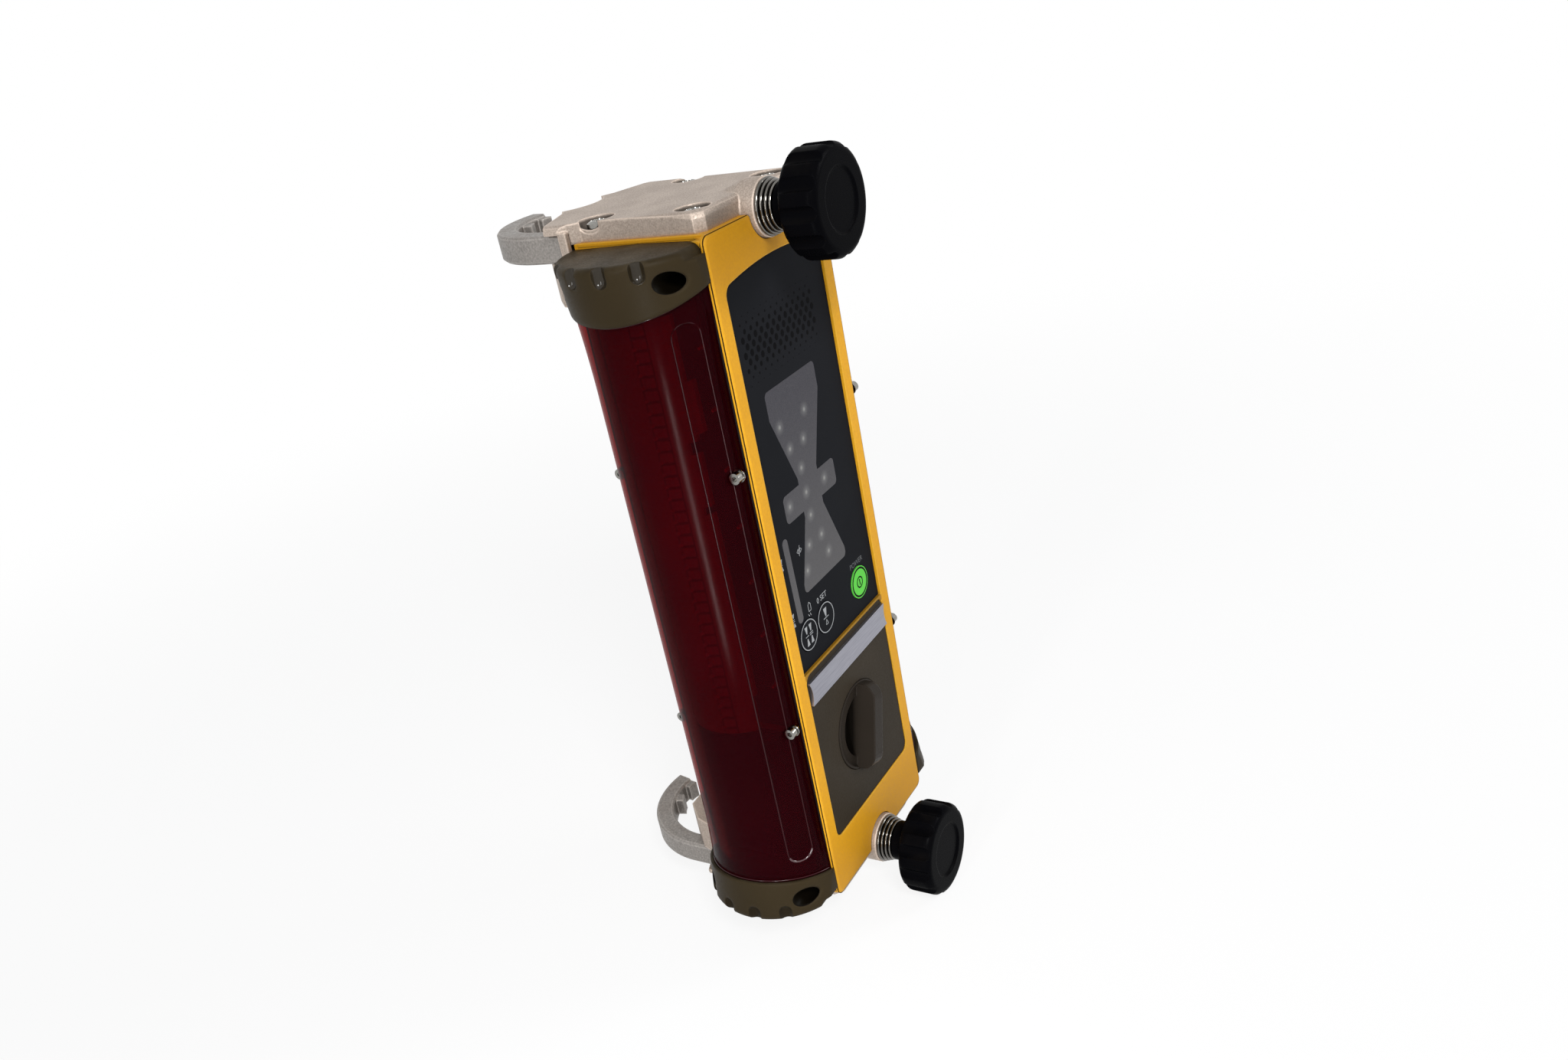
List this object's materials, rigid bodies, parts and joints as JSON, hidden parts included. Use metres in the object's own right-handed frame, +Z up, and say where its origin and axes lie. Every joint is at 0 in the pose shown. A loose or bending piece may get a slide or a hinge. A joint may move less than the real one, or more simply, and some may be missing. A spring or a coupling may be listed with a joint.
{
  "type": "pole-mounted laser receiver",
  "caption": "Tall laser receiver with half-round red windows, an arrow display panel, a slide-out battery holder and screw-tightened hook clamps for a round mast.",
  "frame": {"origin": "on the mast axis at mid-height of the receiver", "axes": "+Z up along the mast, front face and display towards -Y, +X to the right seen from the front"},
  "size_m": [0.1736, 0.1884, 0.4082],
  "materials": {
    "yellow_paint": "satin",
    "window_red": "gloss",
    "guide_red": "gloss",
    "cap_olive": "fine textured",
    "seal_black": "matte",
    "screw_steel": "bright",
    "panel_black": "semi-matt film",
    "display_grey": "translucent smoke",
    "board_green": "solder mask",
    "diode_black": "moulded",
    "bracket_cast": "bead blasted",
    "hook_cast": "as cast",
    "washer_chrome": "polished",
    "knob_black": "satin",
    "rod_steel": "zinc plated",
    "door_olive": "fine textured",
    "bar_silver": "satin",
    "tray_black": "matte",
    "cell_wrap": "shrink sleeve",
    "contact_nickel": "nickel plated",
    "power_green": "domed film"
  },
  "bodies": {
    "base": {"main_housing": "yellow_paint", "front_bezel": "yellow_paint", "left_window": "window_red", "right_window": "window_red", "left_window_seal": "seal_black", "right_window_seal": "seal_black", "upper_left_cap": "cap_olive", "upper_right_cap": "cap_olive", "lower_left_cap": "cap_olive", "lower_right_cap": "cap_olive", "cap_screws": "screw_steel", "window_screws": "screw_steel", "window_washers": "screw_steel", "front_panel": "panel_black", "display_window": "display_grey", "side_indicator": "display_grey", "display_board": "board_green", "main_board": "board_green", "buzzer": "diode_black", "left_sensor_board": "board_green", "right_sensor_board": "board_green", "left_photodiodes": "diode_black", "right_photodiodes": "diode_black", "left_light_guide": "guide_red", "right_light_guide": "guide_red", "battery_bay": "tray_black", "upper_bracket": "bracket_cast", "lower_bracket": "bracket_cast", "bracket_screws": "screw_steel", "upper_washers": "washer_chrome", "lower_washers": "washer_chrome"},
    "upper_knob": {"upper_knob": "knob_black", "upper_rod": "rod_steel"},
    "lower_knob": {"lower_knob": "knob_black", "lower_rod": "rod_steel"},
    "upper_hook": {"upper_hook": "hook_cast"},
    "lower_hook": {"lower_hook": "hook_cast"},
    "battery_holder": {"battery_door": "door_olive", "door_bar": "bar_silver", "door_seal": "seal_black", "battery_tray": "tray_black", "cells": "cell_wrap", "contacts": "contact_nickel"},
    "lock": {"lock_dial": "door_olive", "latch_cam": "rod_steel"},
    "power_button": {"power_button": "power_green"},
    "zero_button": {"zero_button": "panel_black"},
    "mode_button": {"mode_button": "panel_black"}
  },
  "joints": [
    {"name": "upper_knob_turn", "type": "hinge", "parent": "base", "child": "upper_knob", "pos_m": [0, -0.12925, 0.179], "axis": [0, -1, 0], "range_deg": [-470, 2515]},
    {"name": "upper_hook_slide", "type": "slide", "parent": "base", "child": "upper_hook", "axis": [0, 1, 0], "range_m": [-0.0016, 0.0087]},
    {"name": "lower_knob_turn", "type": "hinge", "parent": "base", "child": "lower_knob", "pos_m": [0, -0.12925, -0.179], "axis": [0, -1, 0], "range_deg": [-470, 2515]},
    {"name": "lower_hook_slide", "type": "slide", "parent": "base", "child": "lower_hook", "axis": [0, 1, 0], "range_m": [-0.0016, 0.0087]},
    {"name": "battery_slide", "type": "slide", "parent": "base", "child": "battery_holder", "axis": [0, -1, 0], "range_m": [0, 0.07]},
    {"name": "lock_turn", "type": "hinge", "parent": "battery_holder", "child": "lock", "pos_m": [0, -0.11025, -0.1024], "axis": [0, 1, 0], "range_deg": [0, 90]},
    {"name": "power_press", "type": "slide", "parent": "base", "child": "power_button", "axis": [0, 1, 0], "range_m": [0, 0.0006], "stiffness_N_per_m": 900},
    {"name": "zero_press", "type": "slide", "parent": "base", "child": "zero_button", "axis": [0, 1, 0], "range_m": [0, 0.0006], "stiffness_N_per_m": 900},
    {"name": "mode_press", "type": "slide", "parent": "base", "child": "mode_button", "axis": [0, 1, 0], "range_m": [0, 0.0006], "stiffness_N_per_m": 900}
  ],
  "couplings": [
    {"joint": "upper_knob_turn", "follows": "upper_hook_slide", "rad_per_m": 5026.5},
    {"joint": "lower_knob_turn", "follows": "lower_hook_slide", "rad_per_m": 5026.5}
  ]
}
